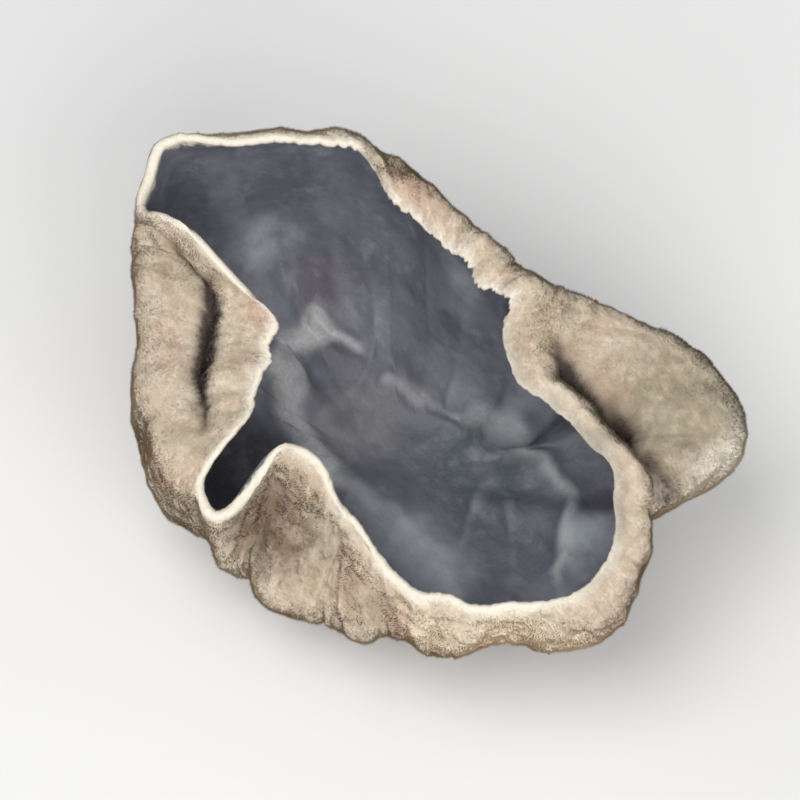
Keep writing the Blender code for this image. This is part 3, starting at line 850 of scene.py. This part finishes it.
def inside_material(look):
    """Smooth slate inside: a satin face with dusty patches and some painted sheen, a painted pale highlight
    on its ridges, painted shade in its hollows, and pale along the margin.
    """
    graph = Graph("slate_inside")
    hollow = graph.attribute("hollow")
    broad = graph.noise(6.0 * MM, 4.0, 0.6, stretch=(0.6, 1.3, 1.0))
    cloudy = graph.noise(2.6 * MM, 5.0, 0.65)
    grain = graph.noise(0.35 * MM, 4.0, 0.7)
    colour = graph.layered(look.dark, ((broad, 0.35, 0.65, 1.0, look.slate),))
    colour = graph.tinted(colour, INSIDE_TINTS, look, cloudy)
    raised = graph.ramp(hollow, 0.02, -0.22, 0.0, 0.35)
    dusty = graph.ramp(cloudy, 0.5, 0.8, 0.0, 0.4)
    colour = graph.blend(graph.maths("MAXIMUM", raised, dusty), colour, look.bloom)
    # Painted highlight on the ridges: a pale sheen, broken up by fine grain and cloudy patches
    worn = graph.ramp(grain, 0.3, 0.6, 0.7, 1.0)
    patchy = graph.maths("MULTIPLY", graph.ramp(cloudy, 0.35, 0.6, 0.62, 1.0), worn)
    ridge_highlight_share = graph.ramp(graph.attribute("ridge"), 0.15, 0.75, 0.0, 0.95)
    colour = graph.blend(graph.maths("MULTIPLY", ridge_highlight_share, patchy), colour, look.ridge_highlight)
    ragged = graph.maths("ADD", graph.attribute("margin"), graph.ramp(cloudy, 0.3, 0.7, -0.5, 0.5))
    ragged = graph.maths("ADD", ragged, graph.ramp(grain, 0.2, 0.8, -0.25, 0.25))
    # Painted shade darkens the hollows, and a pale rim runs along the ragged margin
    layers = ((hollow, 0.05, 0.35, 0.6, look.crease_shade), (ragged, 0.7, 0.1, 1.0, look.rim))
    fine = graph.noise(0.9 * MM, 5.0, 0.62)
    graph.bump(graph.blend(0.45, fine, grain), 0.10)
    return graph.finished({
        "Base Color": graph.layered(colour, layers),
        "Roughness": graph.ramp(cloudy, 0.35, 0.7, look.roughness - 0.09, look.roughness + 0.16),
        "Specular IOR Level": 0.42,
    })


def outside_colour(graph, look):
    """The outside's tan: streaks that run from the stub, rosy patches, painted brown shade in the hollows, a
    cream margin, and painted light and shade at named places and in the tucks.
    """
    hollow = graph.attribute("hollow")
    margin = graph.attribute("margin")
    grown = graph.attribute("grown", "Vector")
    run = graph.add("SeparateXYZ", {"Vector": grown}).outputs["Z"]
    mottle = graph.noise(1.1 * MM, 4.0, 0.6)
    colour = graph.layered(look.tan, (
        (graph.noise(1.4, 4.0, 0.6, grown, (1.0, 1.0, 0.18)), 0.36, 0.7, 0.8, look.cream),
        (graph.noise(5.0 * MM, 3.0, 0.55), 0.45, 0.68, 0.7, look.rosy),
        (mottle, 0.5, 0.72, 0.3, look.umber),
        (run, 15.0, 7.0, 0.6, look.umber),
        # painted shade in the hollows
        (hollow, 0.04, 0.34, 0.7, look.umber),
        (hollow, -0.03, -0.22, 0.4, look.cream),
        (margin, 4.0, 0.8, 0.4, look.cream),
    ))
    colour = graph.tinted(colour, OUTSIDE_TINTS, look, mottle)
    return graph.layered(colour, (
        # pale margin edge: the real pale hairs of the margin, with a painted highlight along it
        (margin, 1.1, 0.2, 0.75, look.edge),
        # painted shade in the tucks
        (graph.attribute("tucked"), 0.05, 0.42, 0.95, look.crevice),
    ))


def outside_material(look):
    """The felt under the nap."""
    graph = Graph("tan_felt")
    graph.bump(graph.noise(0.22 * MM, 3.0, 0.7), 0.09)
    return graph.finished({
        "Base Color": outside_colour(graph, look),
        "Roughness": look.roughness,
        "Specular IOR Level": 0.2,
        "Sheen Weight": 0.25,
        "Sheen Roughness": 0.5,
    })


def nap_material(look):
    """The hairs: the colour of the felt that each grows from, darker at its root and paler at its tip."""
    graph = Graph("velvet_hair")
    strand = graph.attribute("strand")
    height = graph.attribute("height")
    colour = graph.layered(outside_colour(graph, look), ((height, 0.8, 0.0, 0.15, look.umber),))
    tipped = graph.maths("MULTIPLY", graph.ramp(strand, 0.0, 1.0, 0.0, 0.5), graph.ramp(height, 0.3, 1.0))
    return graph.finished({
        "Base Color": graph.blend(tipped, colour, look.cream),
        "Roughness": look.roughness,
        "Specular IOR Level": 0.15,
    })


def cut_material(look):
    """The cut across the stub, brown and fibrous."""
    graph = Graph("brown_cut")
    fibres = graph.noise(0.5 * MM, 5.0, 0.7, stretch=(0.35, 1.4, 1.0))
    graph.bump(fibres, 0.15)
    colour = graph.layered(look.wood, ((fibres, 0.3, 0.7, 1.0, look.tan),))
    return graph.finished({"Base Color": colour, "Roughness": look.roughness})


def read(items, name, wide=1, kind=np.float32):
    """One property of every item, as an array with a row of values for each item."""
    values = np.empty(len(items) * wide, kind)
    items.foreach_get(name, values)
    return values.reshape(-1, wide)


def carry(mesh, name, values):
    """Gives each point of the mesh its row of values, a number or a direction, under a name."""
    kind, output = ("FLOAT_VECTOR", "vector") if values.shape[1] == 3 else ("FLOAT", "value")
    mesh.attributes.new(name, kind, "POINT").data.foreach_set(output, values.astype(np.float32).ravel())


def carried_by(mesh, name):
    """What each point of the mesh carries under a name."""
    layer = mesh.attributes[name]
    return read(layer.data, "vector", 3) if layer.data_type == "FLOAT_VECTOR" else read(layer.data, "value")


def nap_roots(mesh):
    """The outside's triangles: their corners, their corners in the map, and their share of its area."""
    mesh.calc_loop_triangles()
    triangles = mesh.loop_triangles
    slots = read(mesh.polygons, "material_index", kind=np.int32)
    chosen = slots[read(triangles, "polygon_index", kind=np.int32)].ravel() == OUTSIDE
    corners = read(triangles, "vertices", 3, np.int32)[chosen]
    loops = read(triangles, "loops", 3, np.int32)[chosen]
    areas = read(triangles, "area")[chosen, 0].astype(float)
    return corners, loops, areas / areas.sum()


def hairs_on(mesh, nap, rng):
    """Arrays for one mesh of hairs: three points each, their normals, map places and what they carry."""
    corners, loops, shares = nap_roots(mesh)
    pick = rng.choice(len(corners), size=nap.hairs, p=shares)
    first, second = rng.random((2, nap.hairs, 1))
    fold = first + second > 1.0
    first, second = np.where(fold, 1.0 - first, first), np.where(fold, 1.0 - second, second)
    weights = np.stack((1.0 - first - second, first, second), axis=1)
    chosen = corners[pick]
    root = (read(mesh.vertices, "co", 3)[chosen] * weights).sum(axis=1)
    normal = unit((read(mesh.vertices, "normal", 3)[chosen] * weights).sum(axis=1))
    place = (read(mesh.uv_layers["OFBake"].data, "uv", 2)[loops[pick]] * weights).sum(axis=1)
    carried = {}
    for name in ("margin", "hollow", "tucked", "grown", "lie", "clump"):
        carried[name] = (carried_by(mesh, name)[chosen] * weights).sum(axis=1)
    loose = rng.normal(size=(nap.hairs, 3))
    lean = nap.lean * carried.pop("lie") + nap.stray * (1.6 * carried.pop("clump") + 0.5 * loose)
    grow = unit(normal + lean)
    flat = unit(np.cross(grow, normal) + 0.35 * rng.normal(size=(nap.hairs, 3)))
    short = np.clip(carried["margin"] / 0.5, 0.35, 1.0)
    length = nap.length * short * rng.uniform(0.6, 1.25, (nap.hairs, 1))
    hair = np.stack((root - flat * nap.width / 2, root + flat * nap.width / 2, root + grow * length), axis=1)
    face = np.cross(hair[:, 1] - hair[:, 0], hair[:, 2] - hair[:, 0])
    backwards = np.sum(face * normal, axis=1) < 0.0
    hair[backwards] = hair[backwards][:, [1, 0, 2]]
    hair[:, :, 2] = np.maximum(hair[:, :, 2], 0.0)
    carried["strand"] = rng.random((nap.hairs, 1))
    return hair, normal, place, carried


def clump_layer(mesh):
    """A slow random turn at each point of the skin, by which neighbouring hairs lie together."""
    points = read(mesh.vertices, "co", 3) / MM
    carry(mesh, "clump", wander_at(points, 0.9, 0.0) + wander_at(points, 3.0, 0.0))


def nap_mesh(name, skin_mesh, nap, rng):
    """One joined mesh of hairs, each a single narrow triangle."""
    hair, normal, place, carried = hairs_on(skin_mesh, nap, rng)
    count = len(hair)
    mesh = bpy.data.meshes.new(name)
    mesh.vertices.add(count * 3)
    mesh.vertices.foreach_set("co", hair.astype(np.float32).ravel())
    mesh.loops.add(count * 3)
    mesh.loops.foreach_set("vertex_index", np.arange(count * 3, dtype=np.int32))
    mesh.polygons.add(count)
    mesh.polygons.foreach_set("loop_start", np.arange(count, dtype=np.int32) * 3)
    mesh.update(calc_edges=True)
    for layer_name, values in carried.items():
        carry(mesh, layer_name, np.repeat(values, 3, axis=0))
    carry(mesh, "height", np.tile((0.0, 0.0, 1.0), count)[:, None])
    corner = MAP_STEP * np.array(((0.0, 0.0), (1.0, 0.0), (0.0, 1.0)))
    spread = np.clip(place[:, None, :] * (1.0 - 2.0 * MAP_STEP) + corner, 0.0, 1.0)
    mesh.uv_layers.new(name="OFBake").data.foreach_set("uv", spread.astype(np.float32).ravel())
    mesh.shade_smooth()
    mesh.normals_split_custom_set_from_vertices(np.repeat(normal, 3, axis=0).astype(np.float32))
    return mesh


def show(name, mesh, materials):
    """Puts a finished mesh in the scene as a piece that rides on the ear's body."""
    for material in materials:
        mesh.materials.append(material)
    piece = bpy.data.objects.new(name, mesh)
    bpy.context.scene.collection.objects.link(piece)
    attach(piece, "root")
    return piece


class EAR_OT_build_skin(bpy.types.Operator):
    """Builds the ear's closed skin, dark inside and tan outside"""

    bl_idname = "ear.build_skin"
    bl_label = "Build Skin"

    def execute(self, context):
        ear = context.scene.wood_ear
        mesh = bpy.data.meshes.new("ear_skin")
        skin = wrap_skin(ear.skin)
        skin.to_mesh(mesh)
        skin.free()
        mesh.shade_smooth()
        mesh.set_sharp_from_angle(angle=math.radians(60.0))
        looks = (inside_material(ear.inside), outside_material(ear.outside), cut_material(ear.outside))
        piece = show("ear_skin", mesh, looks)
        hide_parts("wood_ear")
        return {"FINISHED"}


class EAR_OT_grow_nap(bpy.types.Operator):
    """Grows the short velvet hairs on the outside of the skin"""

    bl_idname = "ear.grow_nap"
    bl_label = "Grow Nap"

    def execute(self, context):
        ear = context.scene.wood_ear
        skin_mesh = bpy.data.objects["ear_skin"].data
        clump_layer(skin_mesh)
        rng = np.random.default_rng(ear.nap.seed)
        material = nap_material(ear.outside)
        for number in range(1, ear.nap.pieces + 1):
            name = f"velvet_nap_{number}"
            show(name, nap_mesh(name, skin_mesh, ear.nap, rng), (material,))
        return {"FINISHED"}


def floor_material(look):
    """A pale, faintly uneven floor."""
    graph = Graph("pale_floor")
    uneven = graph.noise(90.0 * MM, 2.0, 0.5)
    paler = tuple(min(1.0, 1.05 * value) for value in look.floor)
    colour = graph.layered(look.floor, ((uneven, 0.3, 0.7, 1.0, paler),))
    return graph.finished({"Base Color": colour, "Roughness": 0.7})


def towards(azimuth, elevation):
    """The direction from the ear to a place seen from it at an azimuth and an elevation, in radians."""
    level = math.cos(elevation)
    return Vector((math.sin(azimuth) * level, -math.cos(azimuth) * level, math.sin(elevation)))


def put_facing(thing, target, away, distance):
    """Puts a light or a camera in the scene, some way off in a direction and facing the target."""
    thing.location = target + away * distance
    thing.rotation_euler = away.to_track_quat("Z", "Y").to_euler()
    bpy.context.scene.collection.objects.link(thing)


def soft_light(lamp, target, azimuth, power):
    """A large square light that faces the ear."""
    light = bpy.data.lights.new(lamp.name, "AREA")
    light.size = lamp.size
    light.energy = power
    light.color = lamp.colour
    away = towards(azimuth + math.radians(lamp.turn), math.radians(lamp.height))
    put_facing(bpy.data.objects.new(lamp.name, light), target, away, lamp.distance)


class EAR_OT_set_stage(bpy.types.Operator):
    """Sets the pale floor, the soft lights and the camera"""

    bl_idname = "ear.set_stage"
    bl_label = "Set Stage"

    def execute(self, context):
        look = context.scene.wood_ear.stage
        plane = bpy.data.meshes.new("pale_floor")
        flat = bmesh.new()
        bmesh.ops.create_grid(flat, x_segments=1, y_segments=1, size=1.5)
        flat.to_mesh(plane)
        flat.free()
        plane.materials.append(floor_material(look))
        floor = bpy.data.objects.new("pale_floor", plane)
        context.scene.collection.objects.link(floor)
        target = (CAD_LOW + CAD_HIGH) / 2
        world = bpy.data.worlds.new("soft_room")
        world.use_nodes = True
        air = world.node_tree.nodes["Background"]
        air.inputs["Color"].default_value = ROOM_COLOUR
        air.inputs["Strength"].default_value = look.air
        context.scene.world = world
        context.scene.view_settings.view_transform = "Standard"
        for lamp in LAMPS:
            soft_light(lamp, target, look.azimuth, getattr(look, lamp.power))
        camera = bpy.data.objects.new("camera", bpy.data.cameras.new("camera"))
        camera.data.lens = camera.data.sensor_width * look.distance / look.view_width
        camera.data.clip_start = 0.01
        put_facing(camera, target, towards(look.azimuth, look.elevation), look.distance)
        context.scene.camera = camera
        return {"FINISHED"}


class WoodEar(bpy.types.PropertyGroup):
    """Everything that a user can change"""

    skin: PointerProperty(type=SkinShape, name="Skin", description="Shape of the skin")
    inside: PointerProperty(type=InsideLook, name="Inside", description="Look of the inside")
    outside: PointerProperty(type=OutsideLook, name="Outside", description="Look of the outside")
    nap: PointerProperty(type=NapShape, name="Nap", description="Hairs of the outside")
    stage: PointerProperty(type=StageLook, name="Stage", description="Floor, lights and camera")


class EAR_PT_wood_ear(bpy.types.Panel):
    """The ear's settings and the buttons that build it"""

    bl_label = "Dried Wood Ear"
    bl_idname = "EAR_PT_wood_ear"
    bl_space_type = "VIEW_3D"
    bl_region_type = "UI"
    bl_category = "Wood Ear"

    def draw(self, context):
        ear = context.scene.wood_ear
        steps = (
            (("skin", "inside", "outside"), "ear.build_skin"),
            (("nap",), "ear.grow_nap"),
            (("stage",), "ear.set_stage"),
        )
        for groups, button in steps:
            box = self.layout.box()
            for group in groups:
                settings = getattr(ear, group)
                for name in settings.bl_rna.properties.keys():
                    if name not in ("rna_type", "name"):
                        box.prop(settings, name)
            box.operator(button)


CLASSES = (
    SkinShape,
    InsideLook,
    OutsideLook,
    NapShape,
    StageLook,
    WoodEar,
    EAR_OT_build_skin,
    EAR_OT_grow_nap,
    EAR_OT_set_stage,
    EAR_PT_wood_ear,
)


def register():
    """Registers the classes and puts the settings on the scene."""
    for cls in CLASSES:
        bpy.utils.register_class(cls)
    bpy.types.Scene.wood_ear = PointerProperty(type=WoodEar)


def unregister():
    """Takes the settings off the scene and the classes away."""
    del bpy.types.Scene.wood_ear
    for cls in reversed(CLASSES):
        bpy.utils.unregister_class(cls)


def main():
    """Builds the ear and its stage."""
    register()
    bpy.ops.ear.build_skin()
    bpy.ops.ear.grow_nap()
    bpy.ops.ear.set_stage()


if __name__ == "__main__":
    main()
